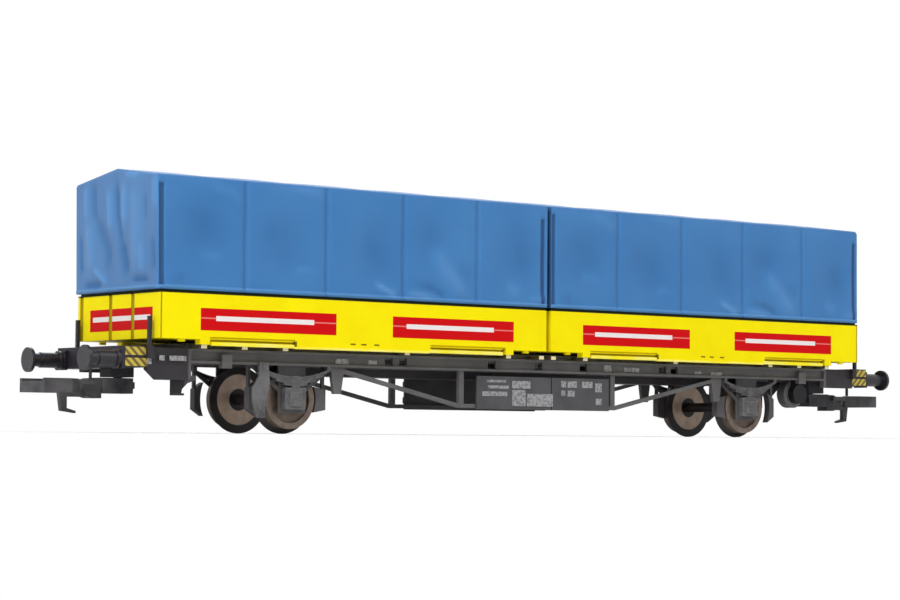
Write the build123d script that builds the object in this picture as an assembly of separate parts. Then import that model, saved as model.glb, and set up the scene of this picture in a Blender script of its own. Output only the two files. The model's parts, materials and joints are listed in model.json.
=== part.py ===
from build123d import *
import os

os.makedirs("parts", exist_ok=True)

# Two-axle container flat wagon, a 1:87 model, with two hooded swap bodies on it.
# Millimetres. X runs along the wagon, Y across it, the near side at -Y, and Z up.
# Z is zero at the bottom of the wheel flanges, and the rail top is at rail_z.
# A name that ends in _h is a height above the rail top, and one with half in it
# is a distance from a centre line.

# Wheelsets
tread_r = 5.5
flange_depth = 0.9
flange_w = 0.8
flange_edge = 0.3
wheel_w = 2.7
back_to_back = 14.4
axle_r = 1.0
journal_r = 0.6
journal_length = 1.1
wheelbase = 118.4
hub_r = 2.0
rim_w = 1.1
dish_depth = 0.7

# Swap bodies: a drop-side tray below a tarpaulin hood
body_length = 89.8
body_w = 28.9
body_gap = 0.93
tray_inset = 0.15
tray_height = 8.7
hood_height = 20.3
roof_rise = 2.0
wall = 1.0
floor_thickness = 1.0
rim_height = 1.4
rim_wall = 0.8
rim_gap = 0.05
hem_groove = 0.35
base_height = 0.9
base_setback = 8.6
base_block_length = 2.0
skirt_half_length = 15.8
base_inner_half = 12.6
strip_setback = 0.5
strip_groove = (0.15, 0.3)
lug_setback = 5.0
lug_size = (1.2, 0.5, 0.35)
end_groove_w = 1.2
end_groove_depth = 0.25
end_groove_places = (13.0, 2.7, -5.0)
hood_panels = 5
seam_w = 0.3
seam_depth = 0.12
corner_groove_w = 0.5
corner_groove_depth = 0.3
corner_groove_inset = 0.9
corner_groove_ends = (0.6, 1.8)

# Underframe
deck_h = 14.2
deck_thickness = 0.8
deck_margin = 0.835
deck_rib_half = (78.0, 10.0)
deck_rib_height = 1.0
sole_half_w = 11.2
sole_web = 0.6
sole_depth = 2.6
sole_flange = 0.7
flange_thickness = 0.45
window_places = (0.0, 12.0, 34.0, 37.3)
window_w = 2.0
window_height = 1.6
socket_setback = 16.45
socket_w = 2.1
socket_drop = 0.8
socket_height = 2.5
socket_depth = 0.5
end_plate_length = 9.1
end_plate_drop = 3.1
short_plate_drop = 1.5
end_plate_bevels = ((0.6, 0.6), (2.1, 1.8))
headstock_depth = 4.5
headstock_height = 3.8
headstock_wall = 0.8
headstock_rise = 0.2
sill_half_w = 4.0
sill_w = 1.0
sill_height = 0.9
bearer_w = 0.8
bearer_end_setback = 5.0
ballast_size = (112.0, 6.6, 2.4)
pad_height = 0.7
pad_w = 1.2
pad_inset = 0.45
pad_inner_places = (1.1, 9.6, 34.6)
pad_outer_places = (9.6, 18.3, 27.2)

# Trussing below the solebars, with the boards on it
truss_low_h = 4.4
truss_rod = 0.8
truss_w = 0.8
post_x = 19.8
post_w = 1.2
anchor_setback = 9.75
anchor_half_top = 1.6
anchor_half_low = 0.8
anchor_drop = 5.0
board_w = 0.4
board_drop = 0.2
board_height = 6.5
board_spans = ((-16.2, 2.8), (3.1, 18.4))

# Axle guards, boxes and springs, measured from the axle
guard_w = 0.4
guard_half_top = 9.6
guard_half_low = 3.0
guard_leg = 1.3
guard_below = 2.6
guard_waist = 2.6
box_half_w = 2.25
box_below = 1.9
box_above = 2.1
box_depth = 1.2
cover_half = 1.3
cover_depth = 0.3
spring_half = 7.8
spring_leaves = 4
leaf_thickness = 0.42
leaf_w = 1.2
spring_inset = 0.1
spring_seat = 0.3
buckle_half = 0.8
shackle_drop = 0.75
shackle_half = 0.35

# Brakes
inner_shoe_gap = 0.4
outer_shoe_gap = 2.3
inner_shoe_thickness = 2.2
outer_shoe_thickness = 1.3
shoe_back_half = 1.9
shoe_w = 1.5
shoe_half_angle = 24.0
hanger_w = 0.6
strap_w = 0.6
strap_low_h = 2.0
strap_waist_h = (5.0, 7.4, 9.6)
strap_top_span = (6.6, 8.4)
strap_mid_span = (6.3, 9.8)
strap_low_span = (7.2, 9.0)
cylinder_x = 74.4
cylinder_h = 8.6
cylinder_r = 3.0
cylinder_y = (7.5, 10.2)
cylinder_boss_r = 2.1
cylinder_boss_y = 11.9
cylinder_bevel = 0.3
saddle_half = 1.2
saddle_y = (8.5, 11.0)

# Buffers
buffer_h = 12.1
buffer_half = 10.05
buffer_r = 2.25
buffer_reach = 7.3
buffer_head = 0.6
plunger_r = 1.2
sleeve_r = 1.4
sleeve_length = 4.2
collar_r = 1.7
collar_length = 0.7
buffer_plate = 0.5
buffer_plate_half = 1.75

# Coupler with its lifting loop
pivot_setback = 5.6
pin_r = 0.8
pin_length = 1.8
shaft_half_w = 1.9
shaft_span = (87.8, 92.6)
mount_plate_start = 83.5
pivot_gap = 0.15
stub_h = (7.0, 8.2)
stub_half_w = 1.3
stub_length = 0.7
pocket_inset = 2.1
pocket_length = 6.3
pocket_half_w = 1.9
pocket_h = (6.1, 8.9)
knuckle_r = 1.8
knuckle_half_w = 1.5
knuckle_h = 7.0
block_length = 3.2
hook_length = 4.8
hook_w = 1.0
hook_low_h = 5.4
hook_rise = 1.4
hook_nose = 0.8
lever_low_h = 3.4
lever_w = 1.6
foot_length = 1.8
foot_drop = 0.9
foot_thickness = 0.5
loop_pivot_h = 8.0
loop_pin_r = 0.45
loop_neck_half_w = 2.35
loop_half_w = 4.5
loop_flare = (3.2, 5.8)
loop_length = 11.3
loop_bar = 0.7
loop_low_h = 6.1
loop_bar_high_h = 8.1
loop_arm_high_h = 8.6
loop_neck_height = 0.9

# Ends
post_half = 12.55
post_height = 5.3
post_setback = 0.35
post_size = (0.6, 0.7)
post_foot = (1.2, 2.2)
hose_reach = 2.37
hose_y = -4.0
hose_r = 0.33
hose_sides = 6
hose_bend = 0.9
hose_low_h = 8.6
hose_high_h = 12.4
step_setback = 5.8
step_w = 2.0
step_drop = 2.7
step_tread = 0.4
step_plate = 0.5
step_overhang = 0.5
step_arm = 5.2
step_gusset = ((2.3, 1.2), (3.4, 2.2))
step_arm_rise = (2.8, 3.6)

fit_gap = 0.06

rail_z = flange_depth
axle_z = rail_z + tread_r
axle_x = wheelbase / 2
wheel_inner = back_to_back / 2
wheel_outer = wheel_inner + wheel_w

deck_z = rail_z + deck_h
sole_low_z = deck_z - sole_depth
sole_inner = sole_half_w - sole_web
sole_lip = sole_half_w + sole_flange
sole_half_length = body_gap / 2 + body_length + deck_margin
bearer_low_z = sole_low_z + sill_height
bearer_high_z = deck_z - deck_thickness
head_high_z = deck_z + headstock_rise
head_low_z = head_high_z - headstock_height
headstock_x = sole_half_length + headstock_depth
end_plate_low_z = sole_low_z - end_plate_drop
short_plate_low_z = sole_low_z - short_plate_drop
anchor_x = axle_x - anchor_setback

guard_inner = sole_inner - guard_w
axle_shoulder = guard_inner - 0.25
box_low_z = axle_z - box_below
box_high_z = axle_z + box_above

pivot_x = headstock_x - pivot_setback
pocket_x = pivot_x - pocket_inset
block_x = pocket_x + pocket_length
hook_x = block_x + block_length
hook_tip_x = hook_x + hook_length
loop_pivot_x = block_x + knuckle_r
loop_tip_x = loop_pivot_x + loop_length
buffer_face_x = headstock_x + buffer_reach

body_x = (body_gap + body_length) / 2
base_half_length = body_length / 2 - base_setback
lug_x = body_length / 2 - lug_setback
pad_outer_y = body_w / 2 - pad_inset
base_low_z = deck_z + pad_height
tray_low_z = base_low_z + base_height
hood_low_z = tray_low_z + tray_height
eave_z = hood_low_z + hood_height
ridge_z = eave_z + roof_rise

ENDS = (("left", -1), ("right", 1))
SIDES = (("near", -1), ("far", 1))


def block(x, y, z):
    """A box between two values on each axis."""
    size = [abs(high - low) for low, high in (x, y, z)]
    middle = [(low + high) / 2 for low, high in (x, y, z)]
    return Pos(*middle) * Box(*size)


def side_plate(points, y):
    """An outline of (x, z) points, made solid between two values of y."""
    low, high = sorted(y)
    face = make_face(Polyline(*points, close=True))
    return Location((0, high, 0), (90, 0, 0)) * extrude(face, high - low)


def cross_plate(points, x):
    """An outline of (y, z) points, made solid between two values of x."""
    low, high = sorted(x)
    face = make_face(Polyline(*points, close=True))
    return Plane.YZ.offset(low) * extrude(face, high - low)


def rod_x(radius, x, y, z):
    """A round bar along X."""
    low, high = sorted(x)
    return Pos((low + high) / 2, y, z) * Rot(0, 90, 0) * Cylinder(radius, high - low)


def rod_y(radius, x, y, z):
    """A round bar along Y."""
    low, high = sorted(y)
    return Pos(x, (low + high) / 2, z) * Rot(90, 0, 0) * Cylinder(radius, high - low)


def rod_z(radius, x, y, z):
    """A round bar along Z."""
    low, high = sorted(z)
    return Pos(x, y, (low + high) / 2) * Cylinder(radius, high - low)


def around(middle, half):
    """The two values at a distance of half from the middle."""
    return (middle - half, middle + half)


def both_ways(places):
    """Each place and its mirror image, once, in order."""
    return sorted({sign * place for place in places for sign in (-1, 1)})


def save(name, *solids):
    """Writes one node from solids that do not touch."""
    for item in solids:
        assert item.volume > 0, name
    shape = solids[0] if len(solids) == 1 else Compound(children=list(solids))
    export_step(shape, f"parts/{name}.step")


def wheel(sy):
    """One disc wheel, turned about the axle, with its flange on the inner side."""
    inner, outer = wheel_inner, wheel_outer
    flange_r = tread_r + flange_depth
    dish_r = tread_r - rim_w
    outline = Polyline(
        (axle_r, inner),
        (flange_r, inner),
        (flange_r, inner + flange_edge),
        (tread_r, inner + flange_w),
        (tread_r, outer),
        (dish_r, outer),
        (dish_r, outer - dish_depth),
        (hub_r, outer - dish_depth),
        (hub_r, outer),
        (axle_r, outer),
        close=True,
    )
    turned = revolve(make_face(outline), Axis.Y)
    return turned if sy > 0 else mirror(turned, about=Plane.XZ)


def build_wheelset(end, sx):
    """Two wheels and the axle, whose thin ends run in the axleboxes."""
    centre = Pos(sx * axle_x, 0, axle_z)
    save(f"wheels_{end}", *[centre * wheel(sy) for _, sy in SIDES])
    axle = rod_y(axle_r, 0, around(0, axle_shoulder), 0)
    axle += rod_y(journal_r, 0, around(0, axle_shoulder + journal_length), 0)
    save(f"axle_{end}", centre * axle)


def build_solebar(side, sy):
    """A channel with its lips outward, pierced by windows, and closed by a plate at each end.
    The plate that carries a step is deep and bevelled, and the other one is plain."""
    low, high, lip = sole_low_z, deck_z, flange_thickness
    section = [
        (sole_inner, low),
        (sole_lip, low),
        (sole_lip, low + lip),
        (sole_half_w, low + lip),
        (sole_half_w, high - lip),
        (sole_lip, high - lip),
        (sole_lip, high),
        (sole_inner, high),
    ]
    bar = cross_plate([(sy * y, z) for y, z in section], around(0, sole_half_length))
    window_z = around((low + high) / 2, window_height / 2)
    for x in both_ways(window_places):
        bar -= block(around(x, window_w / 2), (sy * (sole_inner - 1), sy * sole_half_w), window_z)
    (inner_run, inner_rise), (outer_run, outer_rise) = end_plate_bevels
    inner_x = sole_half_length - end_plate_length
    deep_plate = [
        (sole_half_length, high),
        (inner_x, high),
        (inner_x, end_plate_low_z + inner_rise),
        (inner_x + inner_run, end_plate_low_z),
        (sole_half_length - outer_run, end_plate_low_z),
        (sole_half_length, end_plate_low_z + outer_rise),
    ]
    short_plate = [
        (sole_half_length, high),
        (inner_x, high),
        (inner_x, short_plate_low_z),
        (sole_half_length, short_plate_low_z),
    ]
    socket_low = low - socket_drop
    for _, sx in ENDS:
        plate = deep_plate if sx == sy else short_plate
        bar += side_plate([(sx * x, z) for x, z in plate], (sy * sole_inner, sy * sole_lip))
        socket_x = sx * (sole_half_length - socket_setback)
        bar += block(
            around(socket_x, socket_w / 2),
            (sy * sole_half_w, sy * (sole_lip + socket_depth)),
            (socket_low, socket_low + socket_height),
        )
    save(f"solebar_{side}", bar)


def build_deck():
    """The deck with its raised middle, the cross bearers, two long sills and the weight."""
    length = around(0, sole_half_length)
    rib_half_x, rib_half_y = deck_rib_half
    deck = block(length, around(0, sole_inner), (bearer_high_z, deck_z))
    rib_z = (deck_z, deck_z + deck_rib_height)
    save("deck", deck + block(around(0, rib_half_x), around(0, rib_half_y), rib_z))
    places = (
        0,
        post_x,
        (post_x + anchor_x) / 2,
        anchor_x - bearer_w,
        axle_x + anchor_setback + bearer_w,
        sole_half_length - bearer_end_setback,
    )
    bearers = [
        block(around(x, bearer_w / 2), around(0, sole_inner), (bearer_low_z, bearer_high_z))
        for x in both_ways(places)
    ]
    save("underframe", *bearers)
    sills = [
        block(length, (sy * sill_half_w, sy * (sill_half_w + sill_w)), (sole_low_z, bearer_low_z))
        for _, sy in SIDES
    ]
    save("sills", *sills)
    size_x, size_y, size_z = ballast_size
    save(
        "ballast",
        block(around(0, size_x / 2), around(0, size_y / 2), (bearer_low_z - size_z, bearer_low_z)),
    )


def build_load_pads():
    """The pads along both solebars that carry the swap bodies."""
    inner = [body_gap / 2 + place for place in pad_inner_places]
    outer = [body_gap / 2 + body_length - place for place in pad_outer_places]
    pads = []
    for x in both_ways(inner + outer):
        for _, sy in SIDES:
            y = (sy * sole_inner, sy * pad_outer_y)
            pads.append(block(around(x, pad_w / 2), y, (deck_z, base_low_z)))
    save("load_pads", *pads)


def build_headstock(end, sx):
    """The end beam, open towards the wagon."""
    half = sole_lip
    body = block((sx * sole_half_length, sx * headstock_x), around(0, half), (head_low_z, head_high_z))
    body -= block(
        (sx * sole_half_length, sx * (headstock_x - headstock_wall)),
        around(0, half - headstock_wall),
        (head_low_z + headstock_wall, head_high_z - headstock_wall),
    )
    save(f"headstock_{end}", body)


def build_truss(side, sy):
    """The trussing of one side: chord, struts, sloping rods and their anchor brackets."""
    y = (sy * sole_inner, sy * (sole_inner + truss_w))
    low = rail_z + truss_low_h
    knee = post_x + post_w / 2
    outline = [
        (anchor_x, sole_low_z),
        (anchor_x, sole_low_z - truss_rod),
        (knee, low),
        (-knee, low),
        (-anchor_x, sole_low_z - truss_rod),
        (-anchor_x, sole_low_z),
        (-knee, low + truss_rod),
        (knee, low + truss_rod),
    ]
    truss = side_plate(outline, y)
    anchor_low = sole_low_z - anchor_drop
    for _, sx in ENDS:
        truss += block(around(sx * post_x, post_w / 2), y, (low, sole_low_z))
        middle = sx * anchor_x
        anchor = [
            (middle - anchor_half_top, sole_low_z),
            (middle - anchor_half_low, anchor_low),
            (middle + anchor_half_low, anchor_low),
            (middle + anchor_half_top, sole_low_z),
        ]
        truss += side_plate(anchor, y)
    save(f"truss_{side}", truss)
    face = sole_inner + truss_w
    board_low = low - board_drop
    boards = [
        block(span, (sy * face, sy * (face + board_w)), (board_low, board_low + board_height))
        for span in board_spans
    ]
    save(f"boards_{side}", *boards)


def build_axle_guard(end, side, sx, sy):
    """A guard plate: two horns round the axlebox, held by sloping legs."""
    x = sx * axle_x
    y = (sy * guard_inner, sy * sole_inner)
    waist = axle_z + guard_waist
    low = axle_z - guard_below
    guard = block(around(x, guard_half_top), y, (sole_low_z, bearer_high_z))
    guard += block(around(x, guard_half_low), y, (low, sole_low_z))
    for sign in (-1, 1):
        leg = [
            (x + sign * (guard_half_low - guard_leg), waist - guard_leg),
            (x + sign * guard_half_low, waist - guard_leg),
            (x + sign * guard_half_top, sole_low_z),
            (x + sign * (guard_half_top - guard_leg), sole_low_z),
        ]
        guard += side_plate(leg, y)
    guard -= rod_y(journal_r + 0.3, x, (y[0] - sy, y[1] + sy), axle_z)
    save(f"axle_guard_{end}_{side}", guard)


def build_axlebox(end, side, sx, sy):
    """An axlebox with its raised cover, bored for the axle end."""
    x = sx * axle_x
    y = (sy * sole_inner, sy * (sole_inner + box_depth))
    box = block(around(x, box_half_w), y, (box_low_z, box_high_z))
    box += block(around(x, cover_half), (y[1], y[1] + sy * cover_depth), around(axle_z, cover_half))
    bore_end = axle_shoulder + journal_length + 0.15
    box -= rod_y(journal_r + fit_gap, x, (y[0] - sy, sy * bore_end), axle_z)
    save(f"axlebox_{end}_{side}", box)


def leaf(x, half, base, rise, y):
    """One curved spring leaf, lowest at the middle."""
    low = ThreePointArc((x - half, base + rise), (x, base), (x + half, base + rise))
    top = base + leaf_thickness
    high = ThreePointArc((x + half, top + rise), (x, top), (x - half, top + rise))
    edges = low + Line(low @ 1, high @ 0) + high + Line(high @ 1, low @ 0)
    return Location((0, max(y), 0), (90, 0, 0)) * extrude(make_face(edges), leaf_w)


def build_spring(end, side, sx, sy):
    """A leaf spring on the axlebox, hung from the solebar by a shackle at each end."""
    x = sx * axle_x
    y = around(sy * (sole_inner + spring_inset + leaf_w / 2), leaf_w / 2)
    seat = box_high_z + spring_seat
    pack_height = leaf_thickness * spring_leaves
    shackle_z = sole_low_z - shackle_drop
    top_base = seat + pack_height - leaf_thickness
    rise = shackle_z - top_base
    spring = block(around(x, buckle_half), y, (box_high_z, seat + pack_height + spring_seat / 2))
    for number in range(spring_leaves):
        share = 1 - number / (spring_leaves + 0.5)
        spring += leaf(x, spring_half * share, top_base - number * leaf_thickness, rise * share**2, y)
    for sign in (-1, 1):
        eye_x = x + sign * (spring_half - shackle_half)
        spring += block(around(eye_x, shackle_half), y, (shackle_z, sole_low_z))
    save(f"spring_{end}_{side}", spring)


def brake_shoe(x, direction, sy):
    """A curved shoe facing the tread, with its hanger up to the deck. Direction is 1 or -1."""
    outside = x * direction > 0
    near_r = tread_r + (outer_shoe_gap if outside else inner_shoe_gap)
    far_r = near_r + (outer_shoe_thickness if outside else inner_shoe_thickness)
    face = CenterArc((0, 0), near_r, -shoe_half_angle, 2 * shoe_half_angle)
    top, bottom = (far_r, shoe_back_half), (far_r, -shoe_back_half)
    edges = face + Line(face @ 1, top) + Line(top, bottom) + Line(bottom, face @ 0)
    y = (sy * (wheel_outer - shoe_w), sy * wheel_outer)
    shoe = Location((0, max(y), 0), (90, 0, 0)) * extrude(make_face(edges), shoe_w)
    if direction < 0:
        shoe = mirror(shoe, about=Plane.YZ)
    shoe = Pos(x, 0, axle_z) * shoe
    hanger_x = x + direction * (far_r - hanger_w / 2)
    middle = sy * (wheel_outer - shoe_w / 2)
    return shoe + block(
        around(hanger_x, hanger_w / 2), around(middle, hanger_w / 2), (axle_z, bearer_high_z)
    )


def build_brakes(end, sx):
    """Four shoes for one wheelset, and the strap in front of one outer shoe."""
    x = sx * axle_x
    shoes = [brake_shoe(x, direction, sy) for _, sy in SIDES for direction in (-1, 1)]
    save(f"brakes_{end}", *shoes)
    low_z, mid_z, wide_z, neck_z = (rail_z + height for height in (strap_low_h, *strap_waist_h))
    top_z = sole_low_z + flange_thickness
    strap = [
        (strap_top_span[0], top_z),
        (strap_top_span[1], top_z),
        (strap_top_span[1], neck_z),
        (strap_mid_span[1], wide_z),
        (strap_mid_span[1], mid_z),
        (strap_low_span[1], low_z),
        (strap_low_span[0], low_z),
        (strap_low_span[0], mid_z),
        (strap_mid_span[0], wide_z),
        (strap_mid_span[0], neck_z),
    ]
    outline = [(sx * (axle_x + reach), z) for reach, z in strap]
    save(f"straps_{end}", side_plate(outline, (sx * sole_lip, sx * (sole_lip + strap_w))))


def build_brake_cylinder():
    """The round brake cylinder below the near solebar, with its boss and saddle."""
    z = rail_z + cylinder_h
    inner_y, outer_y = cylinder_y
    drum = rod_y(cylinder_r, cylinder_x, (-outer_y, -inner_y), z)
    drum = chamfer(drum.edges().filter_by(GeomType.CIRCLE), cylinder_bevel)
    drum += rod_y(cylinder_boss_r, cylinder_x, (-cylinder_boss_y, -outer_y), z)
    saddle_inner, saddle_outer = saddle_y
    drum += block(
        around(cylinder_x, saddle_half), (-saddle_outer, -saddle_inner), (z + cylinder_bevel, sole_low_z)
    )
    save("brake_cylinder", drum)


def build_buffer(end, side, sx, sy):
    """A buffer: square plate, collar, turned sleeve, plunger and round head."""
    y = sy * buffer_half
    z = rail_z + buffer_h
    start = headstock_x + buffer_plate
    high = min(z + buffer_plate_half, head_high_z)
    body = block(
        (sx * headstock_x, sx * start), around(y, buffer_plate_half), (z - buffer_plate_half, high)
    )
    head_x = buffer_face_x - buffer_head
    outline = Polyline(
        (start, 0),
        (start, collar_r),
        (start + collar_length, collar_r),
        (start + collar_length, sleeve_r),
        (start + sleeve_length, sleeve_r),
        (start + sleeve_length, plunger_r),
        (head_x, plunger_r),
        (head_x, buffer_r),
        (buffer_face_x, buffer_r),
        (buffer_face_x, 0),
        close=True,
    )
    turned = revolve(make_face(outline), Axis.X)
    if sx < 0:
        turned = mirror(turned, about=Plane.YZ)
    save(f"buffer_{end}_{side}", body + Pos(0, y, z) * turned)


def build_coupler_mount(end, sx):
    """A plate between the sills, a shaft below it, and the pin that the coupler turns on."""
    shaft_low = rail_z + pocket_h[1] + pivot_gap
    shaft_start, shaft_end = shaft_span
    shaft_y = around(0, shaft_half_w)
    plate_x = (sx * mount_plate_start, sx * sole_half_length)
    mount = block(plate_x, around(0, sill_half_w), (sole_low_z, bearer_low_z))
    mount += block((sx * shaft_start, sx * sole_half_length), shaft_y, (shaft_low, sole_low_z))
    mount += block((sx * shaft_start, sx * shaft_end), shaft_y, (shaft_low, head_low_z))
    mount += rod_z(pin_r, sx * pivot_x, 0, (shaft_low - pin_length, shaft_low))
    save(f"coupler_mount_{end}", mount)


def build_coupler_pocket(end, sx):
    """The swinging pocket that holds the coupler head, bored for the pin, with its stub."""
    low, high = (rail_z + height for height in pocket_h)
    pocket = block((sx * pocket_x, sx * block_x), around(0, pocket_half_w), (low, high))
    stub_z = [rail_z + height for height in stub_h]
    pocket += block((sx * (pocket_x - stub_length), sx * pocket_x), around(0, stub_half_w), stub_z)
    bore_low = high - pin_length
    pocket -= rod_z(pin_r + fit_gap, sx * pivot_x, 0, (bore_low, high + 1))
    save(f"coupler_pocket_{end}", pocket)


def build_coupler_head(end, sx):
    """The knuckle that carries the loop, and the hook with its release foot."""
    middle = rail_z + knuckle_h
    knuckle_y = around(0, knuckle_half_w)
    head = rod_y(knuckle_r, sx * loop_pivot_x, knuckle_y, middle)
    head += block((sx * block_x, sx * loop_pivot_x), knuckle_y, around(middle, knuckle_r))
    low = rail_z + hook_low_h
    lever = rail_z + lever_low_h
    hook = [
        (loop_pivot_x, low),
        (hook_tip_x - lever_w, low),
        (hook_tip_x - lever_w, lever),
        (hook_tip_x - lever_w - foot_length, lever - foot_thickness),
        (hook_tip_x - lever_w - foot_length, lever - foot_drop),
        (hook_tip_x - foot_thickness, lever - foot_thickness),
        (hook_tip_x, low + hook_nose),
        (hook_tip_x, low + 2 * hook_nose + hook_rise / 2),
        (hook_tip_x - hook_nose, low + 2 * hook_nose + hook_rise / 2),
        (hook_tip_x - 2 * hook_nose, low + hook_rise),
        (loop_pivot_x, low + hook_rise),
    ]
    head += side_plate([(sx * x, z) for x, z in hook], around(0, hook_w / 2))
    pin_z = rail_z + loop_pivot_h
    head -= rod_y(loop_pin_r + fit_gap, sx * loop_pivot_x, around(0, knuckle_half_w + 1), pin_z)
    save(f"coupler_head_{end}", head)


def build_coupler_loop(end, sx):
    """The lifting loop: a pin in the knuckle, two flared arms and the front bar."""
    z = rail_z + loop_pivot_h
    low, high = rail_z + loop_low_h, rail_z + loop_arm_high_h
    neck_low, neck_high = around(z, loop_neck_height / 2)
    start, end_x = loop_pivot_x - 0.6, loop_pivot_x + loop_flare[0]
    loop = rod_y(loop_pin_r, sx * loop_pivot_x, around(0, loop_neck_half_w), z)
    for _, sy in SIDES:
        outer = [
            (sx * start, sy * loop_neck_half_w),
            (sx * end_x, sy * loop_neck_half_w),
            (sx * (loop_pivot_x + loop_flare[1]), sy * loop_half_w),
            (sx * loop_tip_x, sy * loop_half_w),
        ]
        inner = [(x, y - sy * loop_bar) for x, y in reversed(outer)]
        arm = Pos(0, 0, low) * extrude(make_face(Polyline(*outer, *inner, close=True)), high - low)
        for gap in ((low - 1, neck_low), (neck_high, high + 1)):
            arm -= block((sx * (start - 1), sx * end_x), (sy, sy * 2 * loop_half_w), gap)
        loop += arm
    bar_x = (sx * (loop_tip_x - loop_bar), sx * loop_tip_x)
    loop += block(bar_x, around(0, loop_half_w), (low, rail_z + loop_bar_high_h))
    save(f"coupler_loop_{end}", loop)


def brake_hose(sx):
    """A hose that leaves the headstock, bends over and hangs beside the coupler."""
    top = rail_z + hose_high_h
    route = FilletPolyline(
        (sx * headstock_x, hose_y, top),
        (sx * (headstock_x + hose_reach), hose_y, top),
        (sx * (headstock_x + hose_reach), hose_y, rail_z + hose_low_h),
        radius=hose_bend,
    )
    section = Plane(origin=route @ 0, z_dir=route % 0) * RegularPolygon(hose_r, hose_sides)
    return sweep(section, path=route)


def end_step(sx, sy):
    """A shunter's step: a bracket with an arm and a gusset behind the end plate, and the tread."""
    x = sole_half_length - step_setback
    low = end_plate_low_z - step_drop
    arm_low, arm_high = (low + rise for rise in step_arm_rise)
    bracket = [
        (x, arm_high),
        (x, low),
        (x - step_w, low),
        *[(x - run, low + rise) for run, rise in step_gusset],
        (x - step_arm, arm_low),
        (x - step_arm, arm_high),
    ]
    back = sole_inner - step_plate
    step = side_plate([(sx * px, z) for px, z in bracket], (sy * back, sy * sole_inner))
    tread_y = (sy * back, sy * (sole_half_w + step_overhang))
    return step + block((sx * (x - step_w), sx * x), tread_y, (low, low + step_tread))


def end_post(sx, sy):
    """A post beside the end plate, on a foot that joins it to the plate."""
    foot_length, foot_height = post_foot
    end_x = sole_half_length + post_setback
    foot_y = (sy * sole_lip, sy * (post_half + post_size[1] / 2))
    foot_z = (head_high_z - foot_height, head_high_z)
    foot = block((sx * (end_x - foot_length), sx * end_x), foot_y, foot_z)
    return foot + block(
        (sx * (end_x - post_size[0]), sx * end_x),
        around(sy * post_half, post_size[1] / 2),
        (head_high_z, head_high_z + post_height),
    )


def build_end_fittings():
    """Posts at the four corners, a hose at each end, and a step at two opposite corners."""
    save("end_posts", *[end_post(sx, sy) for _, sx in ENDS for _, sy in SIDES])
    save("brake_hoses", *[brake_hose(sx) for _, sx in ENDS])
    save("steps", *[end_step(sx, sx) for _, sx in ENDS])


def build_tray(end, sx):
    """The drop-side tray: floor, walls, locating rim, base frame and lugs."""
    half_x, half_y = body_length / 2 - tray_inset, body_w / 2 - tray_inset
    tray = block(around(0, half_x), around(0, half_y), (tray_low_z, hood_low_z))
    tray -= block(
        around(0, half_x - wall), around(0, half_y - wall), (tray_low_z + floor_thickness, hood_low_z + 1)
    )
    rim_x, rim_y = half_x - wall - rim_gap, half_y - wall - rim_gap
    rim = block(
        around(0, rim_x), around(0, rim_y), (tray_low_z + floor_thickness / 2, hood_low_z + rim_height)
    )
    rim -= block(
        around(0, rim_x - rim_wall), around(0, rim_y - rim_wall), (tray_low_z, hood_low_z + rim_height + 1)
    )
    tray += rim
    ring_z = (hood_low_z - hem_groove, hood_low_z)
    ring = block(around(0, half_x + 1), around(0, half_y + 1), ring_z)
    ring -= block(around(0, half_x - hem_groove), around(0, half_y - hem_groove), ring_z)
    tray -= ring
    base_z = (base_low_z, tray_low_z)
    for _, sy in SIDES:
        flush = (sy * base_inner_half, sy * half_y)
        tray += block(around(0, skirt_half_length), flush, base_z)
        for sign in (-1, 1):
            strip_x = (sign * skirt_half_length, sign * (base_half_length - base_block_length))
            tray += block(strip_x, (sy * base_inner_half, sy * (half_y - strip_setback)), base_z)
            tray += block((strip_x[1], sign * base_half_length), flush, base_z)
            lug_w, lug_depth, lug_out = lug_size
            tray += block(
                around(sign * lug_x, lug_w / 2),
                (sy * (half_y - 1), sy * (half_y - lug_out)),
                (tray_low_z - lug_depth, tray_low_z),
            )
            groove_low, groove_height = strip_groove
            tray -= block(
                strip_x,
                (sy * (half_y - groove_height), sy * (half_y + 1)),
                (tray_low_z + groove_low, tray_low_z + groove_low + groove_height),
            )
    for place in end_groove_places:
        tray -= block(
            (sx * (half_x - end_groove_depth), sx * (half_x + 1)),
            around(-sx * place, end_groove_w / 2),
            (tray_low_z, hood_low_z),
        )
    save(f"tray_{end}", Pos(sx * body_x, 0, 0) * tray)


def build_hood(end, sx):
    """The gabled tarpaulin hood, hollow, with its seams and corner grooves."""
    half_x, half_y = body_length / 2, body_w / 2
    slope = roof_rise / half_y
    hood = cross_plate(
        [(-half_y, hood_low_z), (half_y, hood_low_z), (half_y, eave_z), (0, ridge_z), (-half_y, eave_z)],
        around(0, half_x),
    )
    inner = half_y - wall
    inner_eave = eave_z - wall + slope * wall
    below = hood_low_z - 1
    hollow = [(-inner, below), (inner, below), (inner, inner_eave), (0, ridge_z - wall), (-inner, inner_eave)]
    hood -= cross_plate(hollow, around(0, half_x - wall))
    panel = body_length / hood_panels
    low_end, high_end = corner_groove_ends
    for _, sy in SIDES:
        seam_y = (sy * (half_y - seam_depth), sy * (half_y + 1))
        for number in range(1, hood_panels):
            hood -= block(around(number * panel - half_x, seam_w / 2), seam_y, (hood_low_z, eave_z))
        groove_y = (sy * (half_y - corner_groove_depth), sy * (half_y + 1))
        for x in around(0, half_x - corner_groove_inset):
            hood -= block(
                around(x, corner_groove_w / 2), groove_y, (hood_low_z + low_end, eave_z - high_end)
            )
    save(f"hood_{end}", Pos(sx * body_x, 0, 0) * hood)


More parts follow.
